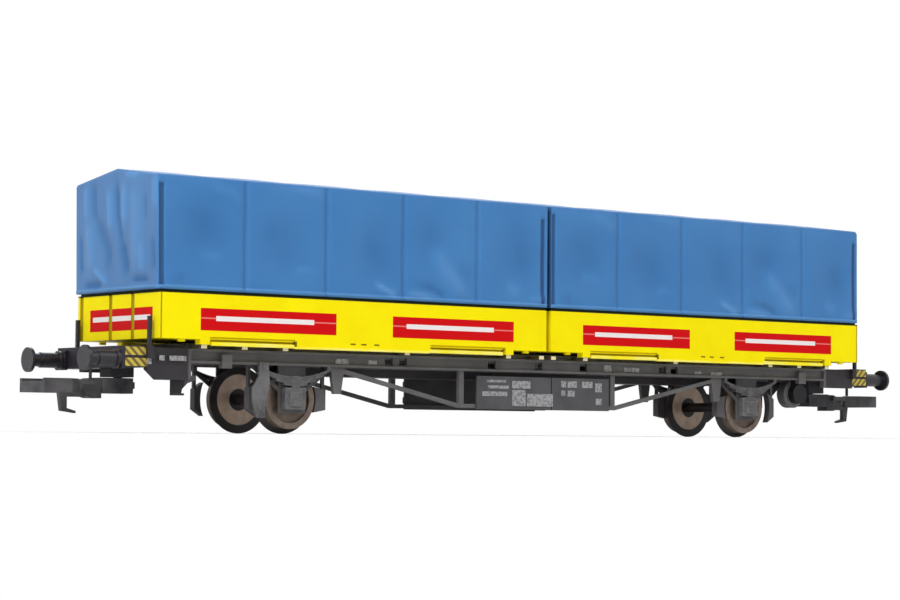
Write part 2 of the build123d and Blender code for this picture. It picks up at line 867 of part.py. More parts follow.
build_deck()
build_load_pads()
build_end_fittings()
build_brake_cylinder()
for side, sy in SIDES:
    build_solebar(side, sy)
    build_truss(side, sy)
for end, sx in ENDS:
    build_headstock(end, sx)
    build_wheelset(end, sx)
    build_brakes(end, sx)
    build_coupler_mount(end, sx)
    build_coupler_pocket(end, sx)
    build_coupler_head(end, sx)
    build_coupler_loop(end, sx)
    build_tray(end, sx)
    build_hood(end, sx)
    for side, sy in SIDES:
        build_axle_guard(end, side, sx, sy)
        build_axlebox(end, side, sx, sy)
        build_spring(end, side, sx, sy)
        build_buffer(end, side, sx, sy)
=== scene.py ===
import json
import math

import bmesh
import bpy
from mathutils import Matrix, Vector, noise


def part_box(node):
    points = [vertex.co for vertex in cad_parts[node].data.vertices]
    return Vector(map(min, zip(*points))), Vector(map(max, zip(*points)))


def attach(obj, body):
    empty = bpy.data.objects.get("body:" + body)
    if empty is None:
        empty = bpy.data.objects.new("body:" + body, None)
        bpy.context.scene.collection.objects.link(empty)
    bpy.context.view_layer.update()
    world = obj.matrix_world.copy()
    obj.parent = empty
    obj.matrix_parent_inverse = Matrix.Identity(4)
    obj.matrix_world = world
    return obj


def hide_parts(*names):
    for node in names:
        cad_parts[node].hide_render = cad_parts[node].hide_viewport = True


# A 1:87 container flat wagon with two hooded swap bodies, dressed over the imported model.
# Lengths in this script are millimetres in the model's own frame, and MM makes them metres.
# A name that ends in _H is a height above the rail top, or two such heights, from and to.

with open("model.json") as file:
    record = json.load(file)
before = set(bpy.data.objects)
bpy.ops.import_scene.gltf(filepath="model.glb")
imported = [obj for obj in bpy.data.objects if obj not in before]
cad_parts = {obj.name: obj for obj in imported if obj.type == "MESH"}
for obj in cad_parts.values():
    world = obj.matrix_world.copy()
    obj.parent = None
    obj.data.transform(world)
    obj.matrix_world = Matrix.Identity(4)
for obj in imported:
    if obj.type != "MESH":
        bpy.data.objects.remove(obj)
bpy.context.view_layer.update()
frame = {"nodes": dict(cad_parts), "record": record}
nodes = frame["nodes"]

MM = 0.001
ENDS = (("left", -1), ("right", 1))
SIDES = (("near", -1), ("far", 1))
RAIL_Z = 0.9


def box_mm(node):
    """A CAD node's lowest and highest corner in millimetres."""
    low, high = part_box(node)
    return low / MM, high / MM


BEVEL_SAMPLES = 4
# a softened normal that matches the flat one this well is off an edge, or on it
EDGE_MATCH = (0.99, 0.80)


class Shader:
    """A node material being built. Most calls add nodes and return an output socket."""

    def __init__(self, name, colour, roughness, metallic=0.0):
        self.material = bpy.data.materials.new(name)
        self.material.use_nodes = True
        self.tree = self.material.node_tree
        self.surface = self.tree.nodes["Principled BSDF"]
        self.surface.inputs["Base Color"].default_value = (*colour, 1)
        self.surface.inputs["Roughness"].default_value = roughness
        self.surface.inputs["Metallic"].default_value = metallic
        self.place = self.node("ShaderNodeTexCoord").outputs["Object"]
        self.parts = None
        self.base = colour

    def node(self, kind, inputs=(), **settings):
        """A new node, with its settings and with values or sockets on its inputs."""
        made = self.tree.nodes.new(kind)
        for name, value in settings.items():
            setattr(made, name, value)
        for name, value in dict(inputs).items():
            if isinstance(value, bpy.types.NodeSocket):
                self.tree.links.new(value, made.inputs[name])
            else:
                made.inputs[name].default_value = value
        return made

    def axis(self, letter):
        """The X, Y or Z place on the object, in millimetres."""
        if self.parts is None:
            self.parts = self.node("ShaderNodeSeparateXYZ", {"Vector": self.place})
        return self.math("DIVIDE", self.parts.outputs[letter], MM)

    def from_middle(self, letter):
        """The distance from the wagon's middle along X or Y, in millimetres."""
        return self.math("ABSOLUTE", self.axis(letter))

    def math(self, operation, first, second=0.0):
        made = self.node("ShaderNodeMath", {0: first, 1: second}, operation=operation)
        return made.outputs["Value"]

    def noise(self, size, detail=3.0):
        """Noise whose grains are about size millimetres across."""
        scale = [1 / (size * MM)] * 3
        mapped = self.node("ShaderNodeMapping", {"Vector": self.place, "Scale": scale})
        settings = {"Vector": mapped.outputs["Vector"], "Scale": 1.0, "Detail": detail}
        return self.node("ShaderNodeTexNoise", settings).outputs["Fac"]

    def ramp(self, factor, low, high):
        """The factor stretched so that low becomes 0 and high becomes 1."""
        settings = {"Value": factor, "From Min": low, "From Max": high}
        return self.node("ShaderNodeMapRange", settings).outputs["Result"]

    def range(self, factor, low, high):
        """Values from low to high as the factor goes from 0 to 1."""
        settings = {"Value": factor, "To Min": low, "To Max": high}
        return self.node("ShaderNodeMapRange", settings).outputs["Result"]

    def inside(self, value, low, high, edge=0.05):
        """1 where the value lies between low and high, with a soft edge that wide."""
        rise = self.ramp(value, low - edge / 2, low + edge / 2)
        fall = self.ramp(value, high + edge / 2, high - edge / 2)
        return self.math("MULTIPLY", rise, fall)

    def mix(self, factor, first, second):
        """One colour turning into another as the factor goes from 0 to 1."""
        made = self.node("ShaderNodeMix", {0: factor}, data_type="RGBA")
        # sockets 6 and 7 of a Mix node are its two colours
        for index, value in ((6, first), (7, second)):
            if isinstance(value, bpy.types.NodeSocket):
                self.tree.links.new(value, made.inputs[index])
            else:
                made.inputs[index].default_value = (*value, 1)
        return made.outputs[2]

    def both(self, *factors):
        """1 only where every factor is 1."""
        product = factors[0]
        for factor in factors[1:]:
            product = self.math("MULTIPLY", product, factor)
        return product

    def edges(self, width):
        """1 along the mesh's edges, fading out that many millimetres from them."""
        soft = self.node("ShaderNodeBevel", {"Radius": width * MM}, samples=BEVEL_SAMPLES)
        flat = self.node("ShaderNodeNewGeometry").outputs["Normal"]
        match = self.node(
            "ShaderNodeVectorMath", {0: soft.outputs["Normal"], 1: flat}, operation="DOT_PRODUCT"
        )
        return self.ramp(match.outputs["Value"], *EDGE_MATCH)

    def stored(self, name):
        """A value kept on the mesh's corners by the script that made it."""
        return self.node("ShaderNodeAttribute", attribute_name=name).outputs["Fac"]

    def paint(self, colour, *where):
        """Lays a colour over what is there, where every factor is 1."""
        self.base = self.mix(self.both(*where), self.base, colour)
        self.tree.links.new(self.base, self.surface.inputs["Base Color"])

    def shine(self, level):
        """How much a plain surface mirrors, where 0.5 is the usual amount."""
        self.surface.inputs["Specular IOR Level"].default_value = level

    def roughness(self, socket):
        self.tree.links.new(socket, self.surface.inputs["Roughness"])

    def relief(self, height, depth, corner=0.0):
        """Bump of that depth in millimetres, over edges that look rounded by corner."""
        bump = self.node(
            "ShaderNodeBump", {"Height": height, "Distance": depth * MM, "Strength": 1.0}
        )
        if corner:
            soft = self.node("ShaderNodeBevel", {"Radius": corner * MM}, samples=BEVEL_SAMPLES)
            self.tree.links.new(soft.outputs["Normal"], bump.inputs["Normal"])
        self.tree.links.new(bump.outputs["Normal"], self.surface.inputs["Normal"])

    def whiten_beyond(self, near, far):
        """Plain white for the camera at more than that distance from the middle."""
        squares = [self.math("POWER", self.axis(letter), 2.0) for letter in "XY"]
        distance = self.math("SQRT", self.math("ADD", *squares))
        seen = self.node("ShaderNodeLightPath").outputs["Is Camera Ray"]
        share = self.both(seen, self.ramp(distance, near, far))
        white = self.node("ShaderNodeEmission", {"Strength": 1.0}).outputs[0]
        mixed = self.node("ShaderNodeMixShader", {0: share, 1: self.surface.outputs[0], 2: white})
        self.tree.links.new(mixed.outputs[0], self.tree.nodes["Material Output"].inputs["Surface"])


FRAME_GREY = (0.072, 0.068, 0.069)
FRAME_LIGHT = (0.105, 0.100, 0.102)
FRAME_DARK = (0.017, 0.014, 0.019)
HEADSTOCK_LIGHT = (0.024, 0.020, 0.026)
SOLE_GREY = (0.100, 0.096, 0.096)
SOLE_LIGHT = (0.135, 0.130, 0.130)
# painted highlights along the edges of the frame and of the running gear
EDGE_HIGHLIGHT_GREY = (0.150, 0.145, 0.155)
PALE_EDGE_HIGHLIGHT = (0.260, 0.255, 0.265)
DETAIL_GREY = (0.105, 0.104, 0.108)
DETAIL_LIGHT = (0.150, 0.148, 0.150)
STRAP_GREY = (0.060, 0.058, 0.062)
SPRING_GREY = (0.050, 0.048, 0.051)
SPRING_LIGHT = (0.120, 0.118, 0.124)
AXLEBOX_GREY = (0.075, 0.073, 0.077)
# the painted highlight along the brake cylinder's edges
CYLINDER_EDGE_HIGHLIGHT = (0.240, 0.235, 0.245)
BUFFER_BLACK = (0.012, 0.010, 0.014)
COUPLER_GREY = (0.027, 0.025, 0.031)
BOARD_GREY = (0.062, 0.060, 0.066)
BOARD_LIGHT = (0.088, 0.085, 0.092)
PLATE_GREY = (0.330, 0.330, 0.340)
PLATE_WORN = (0.160, 0.158, 0.165)
# the deck's grey is raised as painted light, since the deck lies in the trays' shade
DECK_LIT_GREY = (0.130, 0.125, 0.105)
# painted shade on the load pads between the tray and the deck
PAD_SHADE = (0.085, 0.070, 0.030)
CREAM = (0.780, 0.700, 0.420)
STRIPE_BROWN = (0.170, 0.110, 0.030)
STRIPE_PALE = (0.560, 0.450, 0.070)
WEIGHT_DARK = (0.022, 0.019, 0.022)
WEIGHT_LIGHT = (0.040, 0.036, 0.040)
AXLE_BROWN = (0.060, 0.046, 0.040)
WHEEL_BROWN = (0.120, 0.086, 0.066)
WHEEL_LIGHT = (0.190, 0.145, 0.115)
# the inner discs' tan, raised well above their own brown-tan as painted light
WHEEL_TAN_LIT = (0.900, 0.680, 0.520)
WHEEL_DARK = (0.030, 0.024, 0.026)
YELLOW = (0.980, 0.830, 0.002)
YELLOW_DEEP = (0.950, 0.765, 0.002)
# the ledges' paler yellow, a painted highlight
YELLOW_LEDGE_HIGHLIGHT = (0.990, 0.900, 0.180)
YELLOW_DARK = (0.420, 0.310, 0.006)
# painted shadow line below the hood's hem
SHADOW_LINE_DARK = (0.022, 0.026, 0.010)
MARK_BROWN = (0.200, 0.130, 0.008)
RED = (0.630, 0.005, 0.007)
PANEL_LINE = (0.780, 0.200, 0.180)
WHITE = (0.860, 0.800, 0.790)
BLACK = (0.006, 0.006, 0.008)
TARP_BLUE = (0.036, 0.172, 0.425)
TARP_LIGHT = (0.050, 0.200, 0.460)
# painted shade in the hoods' hollows and painted highlights on their folds
TARP_FOLD_SHADE = (0.020, 0.118, 0.315)
TARP_FOLD_HIGHLIGHT = (0.095, 0.270, 0.560)
# a painted whitish sheen on the hoods' ends
TARP_END_SHEEN = (0.340, 0.340, 0.350)
# painted shade in the hoods' grooves and on their ends between the hoods
TARP_SLOT_SHADE = (0.018, 0.080, 0.210)


# moulded plastic: sizes of its mottling, of its duller patches and of its grain
MOTTLE_SIZE = 6.0
SHEEN_SIZE = 2.0
GRAIN_SIZE = 0.35
SOFT_CORNER = 0.12
# the painted highlight along edges: its width in millimetres and its strength
EDGE_HIGHLIGHT_WIDTH = 0.22
EDGE_HIGHLIGHT_STRENGTH = 0.75


def moulded_plastic(name, colour, lighter, roughness, grain=0.02, edge_highlight=None, shine=0.25):
    """Satin moulded plastic: faint mottling, uneven sheen, fine grain and soft edges,
    with a painted highlight along its edges where that colour is given."""
    shader = Shader(name, colour, roughness)
    shader.shine(shine)
    shader.paint(lighter, shader.ramp(shader.noise(MOTTLE_SIZE), 0.35, 0.7))
    # a paler colour along every edge, as a painted highlight
    if edge_highlight:
        shader.paint(edge_highlight, shader.edges(EDGE_HIGHLIGHT_WIDTH), EDGE_HIGHLIGHT_STRENGTH)
    shader.roughness(shader.range(shader.noise(SHEEN_SIZE), roughness - 0.08, roughness + 0.12))
    shader.relief(shader.noise(GRAIN_SIZE, detail=2.0), grain, SOFT_CORNER)
    return shader


# the headstock's stripes: their pitch, the pale share of it and that share's soft edge
STRIPE_PITCH = 1.5
STRIPE_SHARE = (0.25, 0.78)
STRIPE_SOFT = 0.15
STRIPE_MARGIN = 0.2
STRIPE_ROW_GAP = 0.5


def headstock_plastic():
    """The frame's plastic, with two rows of thin slanted stripes on the beam's two end faces."""
    # its edges take the frame's grey as a painted highlight
    shader = moulded_plastic(
        "headstock_plastic", FRAME_DARK, HEADSTOCK_LIGHT, 0.45, edge_highlight=FRAME_GREY
    )
    low, high = box_mm("headstock_left")
    height = shader.axis("Z")
    slant = shader.math("SUBTRACT", height, shader.from_middle("X"))
    wave = shader.math("FRACT", shader.math("DIVIDE", slant, STRIPE_PITCH))
    stripes = shader.mix(shader.inside(wave, *STRIPE_SHARE, STRIPE_SOFT), STRIPE_BROWN, STRIPE_PALE)
    on_end = shader.math("GREATER_THAN", shader.from_middle("Y"), high.y - 0.02)
    middle = (low.z + high.z) / 2
    lower_row = shader.inside(height, low.z + STRIPE_MARGIN, middle - STRIPE_ROW_GAP / 2)
    upper_row = shader.inside(height, middle + STRIPE_ROW_GAP / 2, high.z - STRIPE_MARGIN)
    shader.paint(stripes, on_end, shader.math("MAXIMUM", lower_row, upper_row))
    return shader.material


# the frame turns darker between these distances from the wagon's middle
DARK_END_X = (82.4, 82.8)
DARK_END_STRENGTH = 0.85


def frame_plastic(name, grey, light):
    """The frame's plastic, which is darker at the wagon's two ends."""
    shader = moulded_plastic(name, grey, light, 0.5, edge_highlight=EDGE_HIGHLIGHT_GREY)
    shader.paint(FRAME_DARK, shader.ramp(shader.from_middle("X"), *DARK_END_X), DARK_END_STRENGTH)
    return shader.material


WEAR_SIZE = 0.9
WEAR_STRENGTH = 0.7


def worn_plastic(name, dark, pale):
    """Running gear: the frame's plastic with pale wear in irregular small patches."""
    shader = moulded_plastic(name, dark, pale, 0.48, edge_highlight=PALE_EDGE_HIGHLIGHT)
    patches = shader.ramp(shader.noise(WEAR_SIZE, detail=4.0), 0.50, 0.60)
    shader.paint(pale, patches, WEAR_STRENGTH)
    return shader.material


# the brake cylinder's boss lies farther from the wagon's middle than this
BOSS_FACE_Y = 10.25


def cylinder_plastic():
    """The brake cylinder: a pale drum with a dark boss on its face."""
    shader = moulded_plastic(
        "cylinder_plastic", DETAIL_GREY, DETAIL_LIGHT, 0.45, edge_highlight=CYLINDER_EDGE_HIGHLIGHT
    )
    shader.paint(BLACK, shader.math("GREATER_THAN", shader.from_middle("Y"), BOSS_FACE_Y))
    return shader.material


# places along a tray's near side, from its middle; the far side is the near side turned round
RED_PANELS = ((-36.3, -6.55), (6.55, 36.3))
STRIPS = ((-33.9, -16.0), (15.5, 33.6))
MARKS = (-2.7, -0.2, 2.8)
MARK_HALF = 0.6
STOP = (-0.1, 0.6)
# places across a tray's outer end
END_PANEL = (-11.8, 9.9)
END_BAR = (-11.0, 8.9)
# a panel's bar begins and ends at these shares of the panel's length
BAR_SHARES = (0.11, 0.83)

PANEL_H = (17.4, 21.4)
BAR_H = (19.15, 20.05)
THIN_LINE_H = (19.48, 19.72)
DARK_LINE_H = (15.5, 15.82)
FAINT_LINE_H = (16.1, 16.25)
STOP_H = (14.6, 16.0)
MARK_H = (15.7, 16.0)

# depths below a tray's faces that still count as the side, as the end, and as outside its grooves
SIDE_SKIN = 0.8
END_SKIN = 0.4
GROOVE_SKIN = 0.1
# the painted shadow line reaches that far below the tray's top, and the hood covers most of it
SHADOW_LINE_DEPTH = 2.0


class TrayPaint:
    """The print and shadow lines of a tray, by height and by place along or across it."""

    def __init__(self, shader):
        self.shader = shader
        low, self.high = box_mm("tray_right")
        body_x = (low.x + self.high.x) / 2
        right = shader.math("GREATER_THAN", shader.axis("X"), 0.0)
        near = shader.math("LESS_THAN", shader.axis("Y"), 0.0)
        centred = shader.math("SUBTRACT", shader.axis("X"), shader.range(right, -body_x, body_x))
        self.along = shader.math("MULTIPLY", centred, shader.range(near, -1.0, 1.0))
        self.across = shader.axis("Y")
        self.height = shader.math("SUBTRACT", shader.axis("Z"), RAIL_Z)
        side_from, end_from = self.high.y - SIDE_SKIN, self.high.x - END_SKIN
        self.on_side = shader.math("GREATER_THAN", shader.from_middle("Y"), side_from)
        self.on_end = shader.math("GREATER_THAN", shader.from_middle("X"), end_from)

    def side(self, colour, start, end, heights, strength=1.0):
        """A strip on both long sides, from and to along the tray."""
        within = self.shader.inside(self.along, start, end)
        level = self.shader.inside(self.height, *heights)
        self.shader.paint(colour, within, level, self.on_side, strength)

    def end(self, colour, start, end, heights):
        """A strip on the outer end, from and to across the tray."""
        within = self.shader.inside(self.across, start, end)
        level = self.shader.inside(self.height, *heights)
        self.shader.paint(colour, within, level, self.on_end)

    def grooves(self):
        """Dark shade in the grooves of the outer end."""
        bottom = self.shader.math("LESS_THAN", self.shader.from_middle("X"), self.high.x - GROOVE_SKIN)
        self.shader.paint(YELLOW_DARK, self.on_end, bottom)

    def shadow_line(self):
        """A painted shadow line below the hood, where its hem meets the tray."""
        top = self.high.z
        self.shader.paint(SHADOW_LINE_DARK, self.shader.inside(self.shader.axis("Z"), top - SHADOW_LINE_DEPTH, top))


def tray_plastic():
    """Glossy yellow with a painted shadow line below the hood and painted shadow lines over the lower
    strips.
    The printed red panels carry a plain white bar and a thin line."""
    shader = moulded_plastic("tray_plastic", YELLOW, YELLOW_DEEP, 0.4, grain=0.008, shine=0.05)
    paint = TrayPaint(shader)
    for start, end in RED_PANELS:
        bar_start, bar_end = (start + share * (end - start) for share in BAR_SHARES)
        paint.side(RED, start, end, PANEL_H)
        paint.side(PANEL_LINE, start, end, THIN_LINE_H)
        paint.side(WHITE, bar_start, bar_end, BAR_H)
    paint.end(RED, *END_PANEL, PANEL_H)
    paint.end(WHITE, *END_BAR, BAR_H)
    paint.grooves()
    for start, end in STRIPS:
        paint.side(YELLOW_DARK, start, end, DARK_LINE_H)
        paint.side(YELLOW_DARK, start, end, FAINT_LINE_H, strength=0.5)
        paint.side(MARK_BROWN, end + STOP[0], end + STOP[1], STOP_H)
    for place in MARKS:
        paint.side(MARK_BROWN, place - MARK_HALF, place + MARK_HALF, MARK_H)
    paint.shadow_line()
    return shader.material


# from a wheel's outer face to the plane that parts its outer side from its inner side
WHEEL_PARTING = 1.9
TAN_RING = (2.1, 4.8)


def wheel_metal():
    """Browned wheels: tan discs on the inner faces, painted far paler than their brown-tan as painted
    light on faces that lie in shade, with dark rims, hubs and flanges.
    """
    shader = Shader("wheel_metal", WHEEL_BROWN, 0.5, metallic=0.2)
    low, high = box_mm("wheels_right")
    axle_x, axle_z = (low.x + high.x) / 2, (low.z + high.z) / 2
    dx = shader.math("SUBTRACT", shader.from_middle("X"), axle_x)
    dz = shader.math("SUBTRACT", shader.axis("Z"), axle_z)
    squares = shader.math("ADD", shader.math("POWER", dx, 2.0), shader.math("POWER", dz, 2.0))
    radius = shader.math("SQRT", squares)
    cloud = shader.ramp(shader.noise(1.6), 0.3, 0.7)
    shader.paint(WHEEL_LIGHT, cloud)
    # the inner faces lie in shade, so their tan is painted pale as light
    tan = shader.mix(shader.range(cloud, 0.0, 0.35), WHEEL_TAN_LIT, WHEEL_LIGHT)
    inner = shader.mix(shader.inside(radius, *TAN_RING, 0.2), WHEEL_DARK, tan)
    shader.paint(inner, shader.math("LESS_THAN", shader.from_middle("Y"), high.y - WHEEL_PARTING))
    shader.roughness(shader.range(shader.noise(0.9), 0.38, 0.58))
    shader.relief(shader.noise(0.3), 0.01, 0.08)
    return shader.material


def tarp_plastic():
    """The moulded tarpaulin: matt blue with faint cloudy patches and a fine weave.
    Painted shade deepens its hollows and painted highlights pale its folds, a painted sheen greys its
    ends, and painted shade darkens its slots and the ends between the hoods."""
    shader = Shader("tarp_plastic", TARP_BLUE, 0.55)
    shader.paint(TARP_LIGHT, shader.ramp(shader.noise(14.0, detail=4.0), 0.3, 0.75))
    # faces that look along X, the ends, get a painted whitish sheen
    normal = shader.node("ShaderNodeNewGeometry").outputs["Normal"]
    facing = shader.node("ShaderNodeSeparateXYZ", {"Vector": normal}).outputs["X"]
    shader.paint(TARP_END_SHEEN, shader.ramp(shader.math("ABSOLUTE", facing), 0.6, 0.9), 0.11)
    # the stored fold value gives painted shade in hollows and a painted highlight on folds
    fold = shader.stored("fold")
    shader.paint(TARP_FOLD_SHADE, shader.ramp(fold, 0.0, -1.0))
    shader.paint(TARP_FOLD_HIGHLIGHT, shader.ramp(fold, 0.0, 1.0))
    # painted shade in the grooves and on the ends that face each other across the gap
    shader.paint(TARP_SLOT_SHADE, shader.ramp(shader.stored("slot"), 0.3, 0.8))
    shader.roughness(shader.range(shader.noise(5.0), 0.45, 0.62))
    shader.surface.inputs["Sheen Weight"].default_value = 0.08
    shader.shine(0.3)
    shader.relief(shader.noise(0.5, detail=3.0), 0.012)
    return shader.material


def pad_plastic():
    """The load pads: cream on their outer faces, with painted shade on their other faces between the
    tray and the deck.
    """
    # the pad's faces other than its outer one get painted shade
    shader = moulded_plastic("pad_plastic", PAD_SHADE, FRAME_GREY, 0.5)
    outer_face = box_mm("load_pads")[1].y
    shader.paint(CREAM, shader.math("GREATER_THAN", shader.from_middle("Y"), outer_face - 0.06))
    return shader.material


def plate_paint():
    """Blank pale label plates, slightly worn."""
    shader = Shader("plate_paint", PLATE_GREY, 0.5)
    shader.paint(PLATE_WORN, shader.ramp(shader.noise(0.5), 0.42, 0.62))
    shader.relief(shader.noise(0.3), 0.01, 0.05)
    return shader.material


# plain moulded materials: key, name, colour, lighter colour, roughness
MOULDED = (
    ("light_plastic", "light_plastic", DETAIL_GREY, DETAIL_LIGHT, 0.48),
    ("coupler_plastic", "coupler_plastic", COUPLER_GREY, FRAME_LIGHT, 0.45),
    ("board_plastic", "board_plastic", BOARD_GREY, BOARD_LIGHT, 0.5),
    ("axle_metal", "axle_metal", WHEEL_DARK, AXLE_BROWN, 0.4),
    ("weight_metal", "weight_metal", WEIGHT_DARK, WEIGHT_LIGHT, 0.45),
    # the ledges are paler than the tray as a painted highlight
    ("ledge", "ledge_plastic", YELLOW_LEDGE_HIGHLIGHT, YELLOW, 0.4),
    # the deck's paler grey is painted light
    ("deck", "deck_plastic", DECK_LIT_GREY, DETAIL_LIGHT, 0.55),
)


def make_materials():
    """Every material, by a node's name, by the first word of it, or by a material slot."""
    made = {key: moulded_plastic(*values).material for key, *values in MOULDED}
    made["buffer_plastic"] = moulded_plastic(
        "buffer_plastic", BUFFER_BLACK, FRAME_DARK, 0.3, shine=0.45
    ).material
    made["frame_plastic"] = frame_plastic("frame_plastic", FRAME_GREY, FRAME_LIGHT)
    made["solebar"] = frame_plastic("solebar_plastic", SOLE_GREY, SOLE_LIGHT)
    made["truss"] = frame_plastic("truss_plastic", SOLE_GREY, SOLE_LIGHT)
    made["straps"] = worn_plastic("strap_plastic", STRAP_GREY, DETAIL_LIGHT)
    made["spring"] = worn_plastic("spring_plastic", SPRING_GREY, SPRING_LIGHT)
    made["axlebox"] = worn_plastic("axlebox_plastic", AXLEBOX_GREY, DETAIL_LIGHT)
    made["brake_cylinder"] = cylinder_plastic()
    made["headstock"] = headstock_plastic()
    made["load_pads"] = pad_plastic()
    made["wheel_metal"] = wheel_metal()
    made["yellow_plastic"] = tray_plastic()
    made["tarp_plastic"] = tarp_plastic()
    made["plate"] = plate_paint()
    return made


def dress_cad_nodes(materials):
    """Each CAD node gets the most particular material that its name or slot has."""
    for part in frame["record"]["subparts"]:
        node = part["node"]
        names = [node, node.split("_")[0], part["material_slot"]]
        key = next(name for name in names if name in materials)
        slots = nodes[node].data.materials
        slots.clear()
        slots.append(materials[key])


def add_piece(name, mesh, body, material, smooth=False):
    """Puts a finished mesh in the scene, riding on its body."""
    piece = bpy.data.objects.new(name, mesh)
    bpy.context.scene.collection.objects.link(piece)
    mesh.materials.append(material)
    if smooth:
        mesh.shade_smooth()
    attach(piece, body)
    return piece


def mesh_data(name, mesh):
    """A Blender mesh in metres from an edit mesh in millimetres, which is used up."""
    bmesh.ops.scale(mesh, verts=mesh.verts, vec=(MM, MM, MM))
    data = bpy.data.meshes.new(name)
    mesh.to_mesh(data)
    mesh.free()
    return data


# places nearer to each other than this are one
TOUCH = 1e-3


def clamp(value, low, high):
    return min(max(value, low), high)


def spaced(low, high, step, extra):
    """Places from low to high about step apart, with the extra ones, and none too near those."""
    count = max(1, round((high - low) / step))
    places = sorted([low + (high - low) * i / count for i in range(count + 1)] + list(extra))
    kept = [low]
    keep_clear = 0.3 * step
    wanted = {round(place, 5) for place in extra} | {round(high, 5)}
    for place in places[1:]:
        near_extra = any(0 < abs(place - other) < keep_clear for other in extra)
        distinct = place - kept[-1] > 0.1 * TOUCH
        if distinct and (round(place, 5) in wanted or not near_extra):
            kept.append(place)
    return kept


def patch(mesh, us, vs, point):
    """A grid of quads, with point(u, v) giving each corner in millimetres."""
    rows = [[mesh.verts.new(Vector(point(u, v))) for v in vs] for u in us]
    for row, following in zip(rows, rows[1:]):
        for a, b, c, d in zip(row, following, following[1:], row[1:]):
            mesh.faces.new((a, b, c, d))


def bell(distance, width):
    """A smooth hump of height 1 that fades out over about twice the width."""
    return math.exp(-((distance / width) ** 2))


def slot_shape(distance, half, wall):
    """1 on the flat bottom of a slot, falling to 0 over its sloping walls."""
    return min(1.0, max(0.0, (half + wall - abs(distance)) / wall))


# a stroke is felt within this many widths, and fades over its first and last quarter to its tips
STROKE_REACH = 3
STROKE_FADE = 4
STROKE_TIP = 0.15


def stroke(a, b, points, width):
    """How strongly a fold along a line of points is felt at (a, b)."""
    place = Vector((a, b))
    lengths = [(Vector(end) - Vector(start)).length for start, end in zip(points, points[1:])]
    total, passed, nearest, held = sum(lengths), 0.0, 1e9, 0.0
    for start, end, length in zip(points, points[1:], lengths):
        run = (Vector(end) - Vector(start)) / length
        along = min(length, max(0.0, (place - Vector(start)).dot(run)))
        gap = (place - Vector(start) - run * along).length
        if gap < nearest:
            nearest, held = gap, (passed + along) / total
        passed += length
    if nearest > STROKE_REACH * width:
        return 0.0
    return bell(nearest, width) * min(1.0, STROKE_FADE * min(held, 1 - held) + STROKE_TIP)


# a hood: panels between its seams, step of its grid, height of its eave, and the plain inside
PANELS = 5
GRID = 0.6
EAVE_H = 44.8
WALL = 2.0
CEILING_Z = 44.6
# the higher this is, the nearer to the eave an end's grid begins to follow the gable
GABLE_POWER = 6
# a hood's edges are rounded to this radius, with grid lines at these distances from them
CORNER_R = 0.7
ROUNDING = (0.14, 0.3, 0.48, CORNER_R)

SEAM_HALF = 0.30
SEAM_WALL = 0.16
SEAM_DEPTH = 0.26

HEM_MIDDLE = 0.45
HEM_HALF = 0.34
HEM_OUT = 0.26
# grid lines over the hem, as shares of its half height from its middle
HEM_LINES = (-0.9, -0.5, 0.0, 0.5, 0.9, 1.1, 1.4)
# folds lose this share of their height at the middle of the hem
HEM_SMOOTHS = 0.7

# the grooves near a hood's two ends, which carry painted shade: how far they lie from its left and its
# right end, and how far below the eave they start
GROOVE_INSETS = {"left": (0.80, 1.45), "right": (0.60, 1.45)}
GROOVE_TOPS = (1.7, 2.7)
GROOVE_FOOT = 0.75
GROOVE_HALF = 0.42
GROOVE_WALL = 0.12
GROOVE_DEPTH = 0.35

# the left hood's outer end leans out, more at the top, and its inner end a little the other way
LEAN_REACH = 9.0
LEAN_FOOT = 0.50
LEAN_MORE_AT_TOP = 0.35
LEAN_INNER = 0.25

# the roof dips a little over each seam, fading out towards its edges
ROOF_DIP = 0.14
ROOF_FADE = 2.0
# an end between the two hoods has this share of the outer end's folds
INNER_END_SHARE = 0.3

# relief fades out within these distances of the roof and of an end's sides
SIDE_FADE_TOP = 1.2
SEAM_FADE_TOP = 0.6
END_FADE_TOP = 1.5
END_FADE_SIDE = 1.0

# fine ripples: height, size along or across, size upward, and the seed of their noise
SIDE_RIPPLES = (0.05, 5, 4, 7.3)
END_RIPPLES = (0.06, 3, 6, 2.1)

# a fold's painted light and shade are full where it stands this many millimetres proud, and side folds
# get this share of them
FULL_TONE = 0.45
SIDE_TONE = 0.42
# the hem's painted highlight on the long sides and on the ends
SIDE_HEM_HIGHLIGHT = 0.6
END_HEM_HIGHLIGHT = 0.8
# the painted shade line below the eave: its tone and its height
EAVE_SHADE_TONE = 0.8
EAVE_SHADE_HEIGHT = 0.7

# soft dents in a long side: panel, middle as shares of its width and height,
# half width and half height in millimetres, depth in millimetres
SIDE_DENTS = (
    (0, 0.52, 0.50, 5.0, 5.2, 0.50),
    (0, 0.18, 0.10, 1.5, 1.4, -0.28),
    (1, 0.50, 0.45, 5.0, 5.4, 0.46),
    (1, 0.72, 0.24, 2.4, 1.3, 0.22),
    (2, 0.66, 0.44, 5.0, 6.0, 0.42),
    (3, 0.36, 0.58, 4.2, 4.2, 0.40),
    (4, 0.60, 0.46, 4.4, 6.2, 0.46),
    (4, 0.56, 0.16, 2.0, 2.0, -0.16),
)
